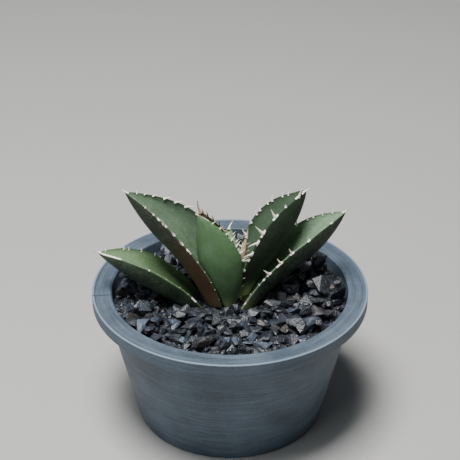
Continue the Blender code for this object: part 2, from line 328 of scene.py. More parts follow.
@dataclass(frozen=True)
class StoneFinish:
    """Crushed lava: charcoal with bluish and brownish fragments, pits, small painted glints and a painted
    highlight on upward faces.
    """

    name: str = "crushed_lava"
    dark: Colour = (0.010, 0.012, 0.015)
    middle: Colour = (0.022, 0.029, 0.041)
    pale: Colour = (0.122, 0.160, 0.212)
    warm: Colour = (0.046, 0.034, 0.028)
    glint: Colour = (0.42, 0.45, 0.49)
    roughness: float = 0.40
    relief: float = 0.35 * MM
    mottle_scale: float = 420.0
    grain_scale: float = 2600.0
    pit_scale: float = 1500.0
    glint_scale: float = 3800.0

    def build(self) -> bpy.types.Material:
        """Makes the material.

        Returns:
            The material; each fragment's own tone comes from the mesh.
        """
        book = NodeBook(self.name)
        place = book.place()
        tone = book.attribute("tone")
        tint = book.attribute("tint")
        mottle = book.noise(place, self.mottle_scale, 5.0, 0.65)
        grain = book.noise(place, self.grain_scale, 3.0, 0.7)
        pits = book.cells(place, self.pit_scale)
        glint = book.noise(place, self.glint_scale, 0.0, 0.5).between(0.74, 0.80)
        upward = book.part(book.node("ShaderNodeNewGeometry", output="Normal"), 2)

        level = (tone * 0.85 + (mottle - 0.5) * 0.75 + (grain - 0.5) * 0.35).clamped()
        stops = ((0.0, self.dark), (0.55, self.middle), (1.0, self.pale))
        body = book.node("ShaderNodeValToRGB", {"stops": stops}, {0: level})
        body = book.mix(tint.between(0.80, 0.98) * 0.5, body, self.warm)
        # Painted glints: small bright specks in the colour stand for sparkles of light.
        body = book.mix(glint * 0.55, body, self.glint)
        # Painted highlight: faces that look up are mixed towards the pale colour.
        body = book.mix(upward.between(0.35, 1.0) * mottle.between(0.45, 0.75) * 0.20, body, self.pale)
        normal = book.bump(mottle + grain * 0.35 + pits * 0.4, 0.75, self.relief)
        rough = self.roughness + (mottle - 0.5) * 0.4 - glint * 0.3
        return book.finish(Base_Color=body, Roughness=rough.clamped(), Normal=normal)


@dataclass(frozen=True)
class LeafFinish:
    """A fleshy leaf: waxy green with a pale bloom, a horny margin and horny teeth."""

    name: str
    upper: Colour = (0.085, 0.165, 0.075)
    bloom: Colour = (0.240, 0.330, 0.240)
    back: Colour = (0.040, 0.085, 0.034)
    blush: Colour = (0.110, 0.055, 0.030)
    blush_share: float = 0.0
    bloom_share: float = 0.55
    heart: Colour = (0.340, 0.400, 0.200)
    heart_share: float = 0.85
    rib_share: float = 0.16
    horn: Colour = (0.900, 0.870, 0.780)
    horn_shade: Colour = (0.640, 0.550, 0.420)
    point: Colour = (0.200, 0.085, 0.045)
    point_share: float = 0.35
    roughness: float = 0.54
    specular: float = 0.3
    relief: float = 0.22 * MM
    cloud_scale: float = 110.0
    grain_scale: float = 2400.0
    speck_scale: float = 2100.0
    dust_scale: float = 1150.0

    def build(self) -> bpy.types.Material:
        """Makes the material, which reads the leaf's own measures from its mesh.

        Returns:
            The material.
        """
        book = NodeBook(self.name)
        place = book.place()
        along, upper, horn, rise, imprint = (book.attribute(name)
                                             for name in ("along", "upper", "horn", "rise", "imprint"))
        flow = book.attribute("flow", "Vector")
        streak = book.noise(book.stretched(flow, (1.0, 0.07, 1.0)), 2.6, 4.0, 0.6)
        fine = book.noise(book.stretched(flow, (1.0, 0.12, 1.0)), 9.0, 3.0, 0.65)
        rib = book.noise(book.stretched(flow, (1.0, 0.05, 1.0)), 1.1, 2.0, 0.5).between(0.50, 0.68)
        cloud = book.noise(place, self.cloud_scale, 4.0, 0.6)
        grain = book.noise(place, self.grain_scale, 2.0, 0.7)
        speck = book.cells(place, self.speck_scale).between(0.30, 0.12)
        powder = book.noise(place, self.dust_scale, 4.0, 0.85).between(0.47, 0.70)
        dust = (speck * 0.5 + powder * 0.75).clamped()

        green = book.mix(streak.between(0.30, 0.75) * 0.30, self.upper, scaled(self.upper, 1.35))
        bloom = (cloud * 0.7 + fine * 0.55 + along * 0.35 - 0.55).clamped() * self.bloom_share
        wax = (bloom + imprint * 0.30).clamped()
        green = book.mix(wax, green, self.bloom)
        green = book.mix(dust * self.bloom_share, green, self.bloom)
        under = book.mix(streak.between(0.35, 0.8) * 0.25, self.back, scaled(self.back, 1.5))
        haze = ((cloud.between(0.45, 0.75) * 0.30 + dust * 0.40) * self.bloom_share).clamped()
        under = book.mix(haze, under, self.bloom)
        blush = along.between(0.75, 0.20) * (cloud * 0.9 + 0.35).clamped() * self.blush_share
        flesh = book.mix(upper, book.mix(blush, under, self.blush), green)
        heart = (along.between(0.17, 0.0) * (fine * 0.5 + 0.6)).clamped()
        flesh = book.mix(heart * self.heart_share, flesh, self.heart)
        flesh = book.mix(rib * upper * self.rib_share, flesh, self.bloom)

        bone = book.mix(fine.between(0.35, 0.7) * 0.5, self.horn, self.horn_shade)
        bone = book.mix(rise.between(1.0 - self.point_share, 1.0), bone, self.point)
        edge = (horn + (fine - 0.5) * 0.35 + (grain - 0.5) * 0.25).between(0.42, 0.62)
        normal = book.bump(streak * 0.8 + fine * 0.4 + grain * 0.25, 0.35, self.relief)
        rough = (self.roughness + wax * 0.25 + (grain - 0.5) * 0.18).clamped()
        return book.finish(Base_Color=book.mix(edge, flesh, bone), Roughness=rough, Normal=normal,
                           Specular_IOR_Level=self.specular)


@dataclass(frozen=True)
class EarthFinish:
    """A coarse mix of bark and pumice, or with other colours a fibrous stem."""

    name: str
    dark: Colour = (0.022, 0.014, 0.009)
    light: Colour = (0.120, 0.085, 0.055)
    scale: float = 520.0
    relief: float = 0.6 * MM

    def build(self) -> bpy.types.Material:
        """Makes the material.

        Returns:
            The crumbly or fibrous material.
        """
        book = NodeBook(self.name)
        place = book.place()
        crumb = book.noise(place, self.scale, 6.0, 0.7)
        lump = book.cells(place, self.scale * 0.8)
        body = book.mix((crumb * 0.8 + lump * 0.5 - 0.25).clamped(), self.dark, self.light)
        normal = book.bump(crumb + lump, 0.9, self.relief)
        return book.finish(Base_Color=body, Roughness=0.8 + crumb * 0.15, Normal=normal)


@dataclass(frozen=True)
class FloorFinish:
    """A plain pale floor."""

    name: str = "pale_floor"
    colour: Colour = (0.37, 0.37, 0.365)

    def build(self) -> bpy.types.Material:
        """Makes the material.

        Returns:
            The material, with a faint unevenness.
        """
        book = NodeBook(self.name)
        faint = book.noise(book.place(), 3.0, 2.0)
        body = book.mix(faint * 0.12, self.colour, scaled(self.colour, 0.92))
        return book.finish(Base_Color=body, Roughness=0.85 + faint * 0.1)


# ---------------------------------------------------------------- mesh helpers


@dataclass
class Surface:
    """Vertices, faces and named measures of a mesh that is being made."""

    points: list[Vector] = field(default_factory=list)
    faces: list[tuple[int, ...]] = field(default_factory=list)
    measures: dict[str, list] = field(default_factory=dict)

    def add(self, point: Vector, **measures: float | Vector) -> int:
        """Adds a vertex.

        Args:
            point: Its place, in metres.
            **measures: Its value of each named measure.

        Returns:
            The vertex's number.
        """
        self.points.append(point)
        for key, value in measures.items():
            self.measures.setdefault(key, []).append(value)
        return len(self.points) - 1

    def sew(self, first: Sequence[int], second: Sequence[int]) -> None:
        """Joins two rings with quads.

        Args:
            first: One ring of vertices.
            second: The next ring, with as many.
        """
        for index, number in enumerate(first):
            after = (index + 1) % len(first)
            self.faces.append((number, first[after], second[after], second[index]))

    def fan(self, ring: Sequence[int], centre: int, backwards: bool = False) -> None:
        """Closes a ring with triangles to a middle vertex.

        Args:
            ring: The ring of vertices.
            centre: The middle vertex.
            backwards: Whether the triangles face the other way.
        """
        for index, number in enumerate(ring):
            after = ring[(index + 1) % len(ring)]
            self.faces.append((after, number, centre) if backwards else (number, after, centre))

    def loft(self, rings: Sequence[Sequence[int]]) -> None:
        """Joins a row of rings and closes both ends.

        Args:
            rings: The rings, all with as many vertices.
        """
        for first, second in zip(rings, rings[1:]):
            self.sew(first, second)
        for ring, backwards in ((rings[0], True), (rings[-1], False)):
            middle = sum((self.points[number] for number in ring), Vector()) / len(ring)
            values = {key: found[ring[0]] for key, found in self.measures.items()}
            self.fan(ring, self.add(middle, **values), backwards)

    def to_object(self, name: str, material: bpy.types.Material, smooth: bool = True) -> bpy.types.Object:
        """Makes the mesh object, with a measure of floats or vectors for each name.

        Args:
            name: The object's name.
            material: Its material.
            smooth: Whether it is shaded smooth.

        Returns:
            The new object, linked to the scene.
        """
        mesh = bpy.data.meshes.new(name)
        mesh.from_pydata(self.points, [], self.faces)
        for key, values in self.measures.items():
            if isinstance(values[0], Vector):
                layer = mesh.attributes.new(key, "FLOAT_VECTOR", "POINT")
                layer.data.foreach_set("vector", [part for value in values for part in value])
            else:
                layer = mesh.attributes.new(key, "FLOAT", "POINT")
                layer.data.foreach_set("value", values)
        mesh.materials.append(material)
        if smooth:
            mesh.shade_smooth()
        mesh.validate()
        return placed(name, mesh)


def placed(name: str, data: bpy.types.ID) -> bpy.types.Object:
    """Adds an object to the scene.

    Args:
        name: Its name.
        data: Its mesh, light or camera.

    Returns:
        The object.
    """
    item = bpy.data.objects.new(name, data)
    bpy.context.scene.collection.objects.link(item)
    return item


def polar(radius: float, angle: float, height: float = 0.0) -> Vector:
    """A point given by its radius, angle and height."""
    return Vector((radius * math.cos(angle), radius * math.sin(angle), height))


def reshape(item: bpy.types.Object, change: Callable[[bmesh.types.BMesh], None]) -> None:
    """Changes an object's mesh in place.

    Args:
        item: The object.
        change: What is done to its mesh.
    """
    shape = bmesh.new()
    shape.from_mesh(item.data)
    change(shape)
    shape.to_mesh(item.data)
    shape.free()


def face_out(shape: bmesh.types.BMesh) -> None:
    """Turns the faces outwards."""
    bmesh.ops.recalc_face_normals(shape, faces=shape.faces)


def sharpen(shape: bmesh.types.BMesh) -> None:
    """Marks edges sharp where their faces meet steeply."""
    for edge in shape.edges:
        edge.smooth = len(edge.link_faces) != 2 or edge.calc_face_angle(0.0) < SHARP_ANGLE


def apply_modifiers(item: bpy.types.Object) -> None:
    """Replaces an object's mesh with its mesh after its modifiers.

    Args:
        item: The object.
    """
    graph = bpy.context.evaluated_depsgraph_get()
    graph.update()
    mesh = bpy.data.meshes.new_from_object(item.evaluated_get(graph))
    item.modifiers.clear()
    item.data = mesh


def smooth_step(share: float) -> float:
    """A share held between zero and one, with soft ends."""
    held = min(max(share, 0.0), 1.0)
    return held * held * (3 - 2 * held)


def ride(piece: bpy.types.Object, slot: str, *nodes: str) -> None:
    """Sets a piece on the root body and hides the CAD nodes that it replaces.

    Args:
        piece: The visible piece.
        slot: The record's material slot; not used.
        *nodes: The CAD nodes that it replaces.
    """
    if nodes:
        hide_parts(*nodes)
    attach(piece, "root")
    LOG.info("%s: %d faces", piece.name, len(piece.data.polygons))


# ---------------------------------------------------------------- pot


@dataclass
class Pot:
    """The round pot: flat rim with a raised outer line, tapered wall, foot and drain holes.

    Attributes:
        rim_width: Width of the flat rim.
        rim_drop: Height of the rim's outer face.
        lip_width: Width of the raised outer line.
        lip_rise: Its height over the flat rim.
        wall: Thickness of the wall.
        shoulder: How far under the rim the inner wall starts to lean outwards.
        shoulder_step: How much narrower the wall is there than the mouth.
        foot_radius: Outer radius of the foot.
        foot_width: Width of the ring that it stands on.
        foot_rise: Height of the hollow under the floor.
        floor: Thickness of the floor.
        drain_radius: Radius of a drain hole.
        drain_circle: Radius of the circle of drain holes round the middle one.
        drain_count: How many lie on that circle.
        steps: Points of a ring, besides those at the seam.
        run: Longest stretch of the profile without a point.
        bend_steps: Stretches that round a corner of the profile.
        seam_angle: Where the moulding seam crosses the rim, in radians.
        seam_depth: Its depth.
        seam_width: Half of its width.
        seam_drop: How far down the rim's outer face it runs.
        seam_points: Points of a ring on either side of it.
        unevenness: How much the rim's top rises and falls, in millimetres.
    """

    rim_width: float = 7.5 * MM
    rim_drop: float = 4.5 * MM
    lip_width: float = 0.9 * MM
    lip_rise: float = 0.3 * MM
    wall: float = 2.4 * MM
    shoulder: float = 6 * MM
    shoulder_step: float = 0.6 * MM
    foot_radius: float = 36.0 * MM
    foot_width: float = 4.5 * MM
    foot_rise: float = 1.5 * MM
    floor: float = 3.0 * MM
    drain_radius: float = 3.6 * MM
    drain_circle: float = 19.0 * MM
    drain_count: int = 6
    steps: int = 256
    run: float = 1.6 * MM
    bend_steps: int = 6
    seam_angle: float = math.radians(187.4)
    seam_depth: float = 0.05 * MM
    seam_width: float = 0.52 * MM
    seam_drop: float = 3.2 * MM
    seam_points: int = 5
    unevenness: float = 0.05

    def __post_init__(self) -> None:
        """Reads the pot's overall size from the frame."""
        low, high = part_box("pot")
        self.top = high.z - self.lip_rise
        self.radius = (high.x - low.x) / 2
        self.mouth = self.radius - self.rim_width

    def wall_radius(self, height: float) -> float:
        """Inner radius of the wall at a height above the foot, in metres."""
        low = self.foot_radius - self.wall
        return low + (self.mouth - self.shoulder_step - low) / (self.top - self.shoulder) * height

    def _corners(self) -> list[tuple[float, float, float]]:
        """Lists the profile's corners, from the inner floor over the rim to the foot.

        Returns:
            Radius, height and rounding of each corner.
        """
        under = self.top - self.rim_drop
        shoulder = self.top - self.shoulder
        floor_top = self.foot_rise + self.floor
        lip = self.radius - self.lip_width
        lip_top = self.top + self.lip_rise
        hollow = self.foot_radius - self.foot_width
        return [
            (self.drain_circle * 1.25, floor_top, 0.0),
            (self.wall_radius(floor_top), floor_top, 2.0 * MM),
            (self.wall_radius(shoulder), shoulder, 3.0 * MM),
            (self.mouth, self.top, 0.55 * MM),
            (lip - 0.15 * MM, self.top, 0.12 * MM),
            (lip + 0.05 * MM, lip_top, 0.16 * MM),
            (self.radius, lip_top, 0.42 * MM),
            (self.radius, under, 0.7 * MM),
            (self.wall_radius(under) + self.wall + 0.3 * MM, under, 0.9 * MM),
            (self.foot_radius + 0.3 * MM, 0.0, 1.1 * MM),
            (hollow, 0.0, 0.4 * MM),
            (hollow - 0.8 * MM, self.foot_rise, 0.5 * MM),
            (self.drain_circle * 1.25, self.foot_rise, 0.0),
        ]

    def profile(self) -> list[tuple[float, float]]:
        """The profile with its corners rounded and its long runs divided.

        Returns:
            Radius and height of each point.
        """
        corners = [(Vector((radius, height)), rounding) for radius, height, rounding in self._corners()]
        points: list[Vector] = [corners[0][0]]
        for (before, _), (corner, rounding), (after, _) in zip(corners, corners[1:], corners[2:]):
            back = before - corner
            ahead = after - corner
            cut = min(rounding, back.length * 0.48, ahead.length * 0.48)
            start = corner + back.normalized() * cut
            end = corner + ahead.normalized() * cut
            for step in range(self.bend_steps + 1):
                share = step / self.bend_steps
                rest = 1 - share
                points.append(start * rest * rest + corner * 2 * rest * share + end * share * share)
        points.append(corners[-1][0])
        divided = [points[0]]
        for point in points[1:]:
            last = divided[-1]
            pieces = max(1, math.ceil((point - last).length / self.run))
            divided.extend(last.lerp(point, part / pieces) for part in range(1, pieces + 1))
        return [(point.x, point.y) for point in divided]

    def _angles(self) -> list[float]:
        """Spaces a ring's points, closer together across the seam.

        Returns:
            The angle of each point.
        """
        near = [self.seam_angle + offset * self.seam_width / self.radius / 3
                for offset in range(-self.seam_points, self.seam_points + 1)]
        rest = TURN - (near[-1] - near[0])
        return near + [near[-1] + rest * step / self.steps for step in range(1, self.steps)]

    def _seam(self, angle: float, radius: float, height: float) -> float:
        """Finds how deep a point lies in the seam that crosses the rim.

        Args:
            angle: The point's angle round the pot.
            radius: Its radius.
            height: Its height.

        Returns:
            The depth, from zero to one.
        """
        if radius < self.mouth + 0.2 * MM or height < self.top - self.seam_drop:
            return 0.0
        away = abs(angle - self.seam_angle) * self.radius
        return smooth_step(1 - away / self.seam_width)

    def build(self, material: bpy.types.Material) -> None:
        """Makes the pot, which stands for the CAD pot.

        Args:
            material: Its plastic.
        """
        surface = Surface()
        angles = self._angles()
        rings = []
        for radius, height in self.profile():
            ring = []
            # Painted highlight: points on the raised outer lip are marked to be coloured paler.
            lip_away = abs(radius - self.radius + 0.4 * MM)
            pale_tone_and_highlight = smooth_step(1 - lip_away / (0.7 * MM)) if height > self.top else 0.0
            for angle in angles:
                # The seam's depth also marks where painted shade darkens the rim.
                sink = self._seam(angle, radius, height)
                place = polar(radius, angle, height)
                if height > self.top - 1.0 * MM:
                    wobble = noise.noise(polar(3, angle, 1.7)) * self.unevenness * MM
                    place.z += wobble - sink * self.seam_depth
                elif sink:
                    place -= polar(1, angle) * sink * self.seam_depth
                ring.append(surface.add(place, wear=pale_tone_and_highlight, parting=sink))
            rings.append(ring)
        for first, second in zip(rings, rings[1:]):
            surface.sew(first, second)
        for ring, height in ((rings[0], self.foot_rise + self.floor), (rings[-1], self.foot_rise)):
            surface.fan(ring, surface.add(Vector((0, 0, height)), wear=0.0, parting=0.0))
        pot = surface.to_object("pot_body", material)
        reshape(pot, face_out)
        self._cut_drains(pot)
        pot.data.shade_smooth()
        reshape(pot, sharpen)
        ride(pot, "pot_plastic", "pot")

    def _cut_drains(self, pot: bpy.types.Object) -> None:
        """Cuts the drain holes out of the floor.

        Args:
            pot: The closed pot.
        """
        holes = bmesh.new()
        circle = [polar(self.drain_circle, TURN * turn / self.drain_count)
                  for turn in range(self.drain_count)]
        for place in [Vector(), *circle]:
            made = bmesh.ops.create_cone(holes, cap_ends=True, segments=48, radius1=self.drain_radius,
                                         radius2=self.drain_radius, depth=20 * MM)
            bmesh.ops.translate(holes, verts=made["verts"], vec=place)
        mesh = bpy.data.meshes.new("drains")
        holes.to_mesh(mesh)
        holes.free()
        cutter = placed("drains", mesh)
        cut = pot.modifiers.new("drains", "BOOLEAN")
        cut.operation = "DIFFERENCE"
        cut.solver = "EXACT"
        cut.object = cutter
        apply_modifiers(pot)
        bpy.data.objects.remove(cutter, do_unlink=True)


# ---------------------------------------------------------------- leaves

# What all leaves share. Lengths are in millimetres and shares run from a leaf's base to its tip.
SWAY_START, SWAY_RUN, SWAY_FADE = 0.35, 0.35, 0.25
TWIST_START = 0.5
MARGIN_CROWDING = 0.115
UPPER_ROUNDNESS, BACK_ROUNDNESS = 1.1, 0.9
RIPPLE, WAVE = 0.16, 0.35
TEAT_LENGTH, TEAT_GROWTH, TEAT_RISE, TEAT_MOST = 0.50, 0.22, 0.05, 0.18
TEAT_START, TEAT_RUN, TEAT_LIFT = 0.80, 0.20, 0.9
HORN_LENGTH, HORN_LEAST, HORN_RISE, HORN_MOST = 0.30, 0.02, 0.06, 0.24
HORN_ON_BACK, HORN_FADE, HORN_FULL = 0.30, 0.35, 0.12
TIP_HORN_START, TIP_HORN_RUN = 0.84, 0.08
TIP_CROWDING = 1.25
IMPRINT_START, IMPRINT_SLOPE, IMPRINT_WIDTH = 0.30, 0.42, 0.045
TOOTH_LEAN, TOOTH_BEND, TOOTH_MOST_BEND, TOOTH_DROOP = 0.8, 0.6, 0.34, 0.10
TOOTH_INSET, TOOTH_DEPTH = 0.55, 0.35
TOOTH_THICK, TOOTH_THICKENING = 0.10, 0.070
TOOTH_BROAD, TOOTH_BROADENING = 0.11, 0.115
SPINE_ROOT = 1.2
HORN_RINGS, HORN_SIDES = 14, 14
HORN_TAPER, HORN_SHOULDER, HORN_BLUNTNESS, HORN_ROUGHNESS = 0.85, 0.06, 0.02, 0.10

Axes = tuple[Vector, Vector, Vector, Vector]
SectionPoint = tuple[Vector, float, float]


class Side(Enum):
    """Which margin of a leaf, seen along it with its upper face up."""

    LEFT = -1
    RIGHT = 1


@dataclass(frozen=True)
class Tooth:
    """A horny tooth on a margin, in millimetres.

    Attributes:
        side: The margin.
        share: Place along the leaf, from base to tip.
        length: How far it stands out.
        sweep: Lean along the leaf, towards the tip if positive.
    """

    side: Side
    share: float
    length: float
    sweep: float = 0.2


def row(side: Side, *teeth: tuple[float, ...]) -> tuple[Tooth, ...]:
    """A margin's teeth, each given as share, length and if need be sweep."""
    return tuple(Tooth(side, *tooth) for tooth in teeth)


@dataclass
class Leaf:
    """A channelled leaf between two points, in millimetres from the middle of the rim's plane.

    Attributes:
        node: The CAD node that it stands for.
        base: Middle between the margins at the base.
        tip: The tip.
        bow: How far the leaf's middle control point stands off the straight line.
        face: Roughly which way the upper face looks.
        half: Half of the greatest width.
        depth: Greatest depth from the margins to the back.
        flesh: Thickness at the middle.
        finish: Its skin.
        teeth: Its teeth on both margins.
        base_width, base_depth: Width and depth at the base, as shares of the greatest.
        widest: Where it is widest and deepest.
        taper, keel_taper: How late the width and the depth shrink towards the tip.
        flare: How slowly it widens from the base.
        twist: Turn of the outer half round its length, in degrees.
        sway: How far the outer half swings aside.
        spine, spine_bend, spine_radius: Length, bend and radius of the terminal spine.
        margin: Width of the horny margin.
        scallop: How much the margin bulges at the teeth.
        tooth_stain: How far a tooth takes the dark colour of its point.
        tooth_spread, tooth_lift: How far teeth point outwards and upwards.
        horn_cover: How much of the margin is horny, beyond half.
        slot: The record's material slot.
        seed: Tells its irregularities apart.
        edge: Half of the margin's thickness.
        most_flesh: Greatest thickness as a share of the depth.
        inner_span: Width of the upper face as a share of the back's.
        stations: Sections along it.
        arc: Stretches of a section's face, from margin to margin.
        end: Where the blade stops and the spine goes on.
    """

    node: str
    base: Sequence[float]
    tip: Sequence[float]
    bow: Sequence[float]
    face: Sequence[float]
    half: float
    depth: float
    flesh: float
    finish: LeafFinish
    teeth: tuple[Tooth, ...]
    base_width: float = 0.6
    base_depth: float = 0.55
    widest: float = 0.47
    taper: float = 2.2
    keel_taper: float = 2.7
    flare: float = 1.0
    twist: float = 0.0
    sway: Sequence[float] = (0.0, 0.0, 0.0)
    spine: float = 2.0
    spine_bend: Sequence[float] = (0.0, 0.0, 0.3)
    spine_radius: float = 0.36
    margin: float = 0.09
    scallop: float = 1.0
    tooth_stain: float = 0.45
    tooth_spread: float = 0.42
    tooth_lift: float = 0.80
    horn_cover: float = -0.2
    slot: str = "leaf_skin"
    seed: float = 0.0
    edge: float = 0.30
    most_flesh: float = 0.55
    inner_span: float = 0.97
    stations: int = 150
    arc: int = 40
    end: float = 0.992

    def __post_init__(self) -> None:
        """Finds the three points that carry the leaf's curve."""
        first, last = Vector(self.base), Vector(self.tip)
        self.curve = (first, (first + last) / 2 + Vector(self.bow), last)
        self.length = (last - first).length

    @staticmethod
    def swell(share: float, base: float, widest: float, taper: float) -> float:
        """Width or depth at a share of the length.

        Args:
            share: Place along the leaf.
            base: The value at the base.
            widest: Where it is greatest.
            taper: How late it shrinks towards the tip.

        Returns:
            The value, as a share of the greatest.
        """
        if share < widest:
            return base + (1 - base) * math.sin(share / widest * math.pi / 2)
        return max(0.0, 1 - ((share - widest) / (1 - widest)) ** taper)

    def width(self, share: float) -> float:
        """Half of the width at a share of the length, in millimetres."""
        lift = min(1.0, share / self.widest) ** (self.flare - 1)
        return self.half * self.swell(share, self.base_width, self.widest, self.taper) * lift

    def axes(self, share: float) -> Axes:
        """The leaf's own axes.

        Args:
            share: Place along the leaf.

        Returns:
            Centre between the margins, way along, upper face's normal and way across.
        """
        first, middle, last = self.curve
        rest = 1 - share
        centre = first * rest * rest + middle * 2 * rest * share + last * share * share
        centre += (Vector(self.sway) * smooth_step((share - SWAY_START) / SWAY_RUN)
                   * smooth_step((1 - share) / SWAY_FADE))
        way = ((middle - first) * rest + (last - middle) * share).normalized()
        hint = Vector(self.face)
        normal = (hint - way * hint.dot(way)).normalized()
        turn = math.radians(self.twist) * smooth_step((share - TWIST_START) / (1 - TWIST_START))
        normal.rotate(Quaternion(way, turn))
        return centre, way, normal, way.cross(normal)

    def near_teeth(self, share: float, side: Side, reach: float) -> list[tuple[Tooth, float]]:
        """How near a place on a margin is to each of its teeth.

        Args:
            share: Place along the leaf.
            side: The margin.
            reach: How far the smallest tooth is felt.

        Returns:
            Each tooth of that margin, with a nearness from zero to one.
        """
        found = []
        for tooth in self.teeth:
            if tooth.side is side:
                away = (share - tooth.share) * self.length / (reach + TEAT_GROWTH * tooth.length)
                found.append((tooth, math.exp(-away * away)))
        return found

    def teat(self, share: float, side: Side) -> float:
        """How much a margin swells at its nearest tooth and sinks between teeth, in millimetres."""
        return self.scallop * max((near * min(TEAT_RISE * tooth.length, TEAT_MOST)
                                   for tooth, near in self.near_teeth(share, side, TEAT_LENGTH)), default=0.0)

    def angle(self, index: int) -> float:
        """Angle of a section's point round the channel; the points lie closer at the margins."""
        even = index / self.arc
        return math.pi * (even - MARGIN_CROWDING * math.sin(TURN * even))

    def section(self, share: float) -> list[SectionPoint]:
        """One closed section.

        Args:
            share: Place along the leaf.

        Returns:
            Place, distance from the nearer margin, and one on the upper face, for each point.
        """
        axes = self.axes(share)
        depth = self.depth * self.swell(share, self.base_depth, self.widest, self.keel_taper)
        channel = depth - min(self.flesh, depth * self.most_flesh)
        across = range(self.arc + 1)
        return ([self._point(share, self.angle(index), channel, True, axes) for index in across]
                + [self._point(share, self.angle(self.arc - index), depth, False, axes) for index in across])

    def _point(self, share: float, angle: float, depth: float, upper: bool, axes: Axes) -> SectionPoint:
        """A point of a section.

        Args:
            share: Place along the leaf.
            angle: Angle round the channel, from the left margin to the right one.
            depth: Depth of this face in the middle.
            upper: Whether it lies on the upper face.
            axes: The leaf's axes there.

        Returns:
            Place, distance from the nearer margin, and one on the upper face, else zero.
        """
        centre, _, normal, across = axes
        width = self.width(share)
        reach, sag = -math.cos(angle), math.sin(angle)
        swelling = self.teat(share, Side.LEFT if reach < 0 else Side.RIGHT)
        swelling *= smooth_step((abs(reach) - TEAT_START) / TEAT_RUN)
        edge = self.edge * min(1.0, width * 0.6)
        sink = depth * sag ** UPPER_ROUNDNESS - edge if upper else depth * sag ** BACK_ROUNDNESS + edge
        ripple = noise.noise(Vector((reach * 2.2, share * 7.0, self.seed + (3.0 if upper else 8.0))))
        wave = noise.noise(Vector((share * 5.0, self.seed, 0.4))) * WAVE * smooth_step(share * 3)
        sink += ripple * RIPPLE * sag + wave * abs(reach) ** 2
        span = self.inner_span if upper else 1.0
        place = centre + across * (reach * width * span + math.copysign(swelling, reach) * 0.5)
        place -= normal * (sink - swelling * TEAT_LIFT)
        return place, width * (1 - abs(reach)) + depth * sag * 0.55, 1.0 if upper else 0.0

    def horny(self, near: float, share: float, side: Side, upper: float) -> float:
        """How horny the skin is, from the margin inwards and round each tooth.

        Args:
            near: Distance from the nearer margin.
            share: Place along the leaf.
            side: The nearer margin.
            upper: One on the upper face, else zero.

        Returns:
            Horn's share, from zero to one.
        """
        patch = noise.noise(Vector((share * 15.0, self.seed + side.value * 2.0, 1.3)))
        tip = smooth_step((share - TIP_HORN_START) / TIP_HORN_RUN)
        width = self.margin * smooth_step(patch * 2.4 + self.horn_cover + tip)
        for tooth, nearness in self.near_teeth(share, side, HORN_LENGTH):
            width = max(width, nearness * min(HORN_LEAST + HORN_RISE * tooth.length, HORN_MOST))
        fade = width * (1.0 if upper else HORN_ON_BACK)
        sharp = smooth_step((fade - near) / (HORN_FADE * fade + HORN_FULL) + 0.5)
        return sharp * smooth_step(width / HORN_FULL)

    def imprint(self, share: float, across: float, upper: float) -> float:
        """How much a neighbour's teeth marked the skin in the bud.

        Args:
            share: Place along the leaf.
            across: Place across it, from minus one to one.
            upper: One on the upper face, else zero.

        Returns:
            The mark's strength.
        """
        line = IMPRINT_START + IMPRINT_SLOPE * share - abs(across)
        strength = math.exp(-(line / IMPRINT_WIDTH) ** 2) * 0.7 * smooth_step((share - 0.18) / 0.2)
        return strength * (0.6 if upper else 1.0)

    def build_blade(self, surface: Surface, origin: Vector) -> None:
        """Adds the fleshy blade as one closed loft.

        Args:
            surface: The mesh being made.
            origin: The middle of the rim's plane.
        """
        rings = []
        for index in range(self.stations + 1):
            share = self.end * (1 - (1 - index / self.stations) ** TIP_CROWDING)
            ring = []
            for number, (place, near, upper) in enumerate(self.section(share)):
                turn = number / self.arc if number <= self.arc else 2 - (number - 1) / self.arc
                side = Side.LEFT if turn < 0.5 else Side.RIGHT
                ring.append(surface.add(
                    origin + place * MM,
                    along=share, upper=upper, horn=self.horny(near, share, side, upper), rise=0.0,
                    flow=Vector(((turn - 0.5) * self.half * 2, share * self.length, upper * 7.0 + self.seed)),
                    imprint=self.imprint(share, turn * 2 - 1, upper),
                ))
            rings.append(ring)
        surface.loft(rings)

    def build_tooth(self, surface: Surface, origin: Vector, tooth: Tooth, seed: float) -> None:
        """Adds one curved, flattened tooth that grows out of the margin.

        Args:
            surface: The mesh being made.
            origin: The middle of the rim's plane.
            tooth: The tooth.
            seed: Tells its irregularities apart.
        """
        centre, way, normal, across = self.axes(tooth.share)
        width = self.width(tooth.share)
        outwards = across * tooth.side.value
        out = outwards * self.tooth_spread + normal * self.tooth_lift + way * tooth.sweep * TOOTH_LEAN
        out.normalize()
        bend = max(-TOOTH_MOST_BEND, min(TOOTH_MOST_BEND, tooth.sweep * TOOTH_BEND))
        inset = min(TOOTH_INSET, width * 0.3)
        hook = (way * bend - normal * TOOTH_DROOP) * tooth.length
        self.horn_cone(surface, origin, root=centre + outwards * (width - inset * 0.6) - normal * TOOTH_DEPTH,
                       reach=out * (tooth.length + inset), hook=hook, way=way,
                       thick=TOOTH_THICK + TOOTH_THICKENING * tooth.length,
                       broad=TOOTH_BROAD + TOOTH_BROADENING * tooth.length,
                       share=tooth.share, seed=seed, stain=self.tooth_stain)

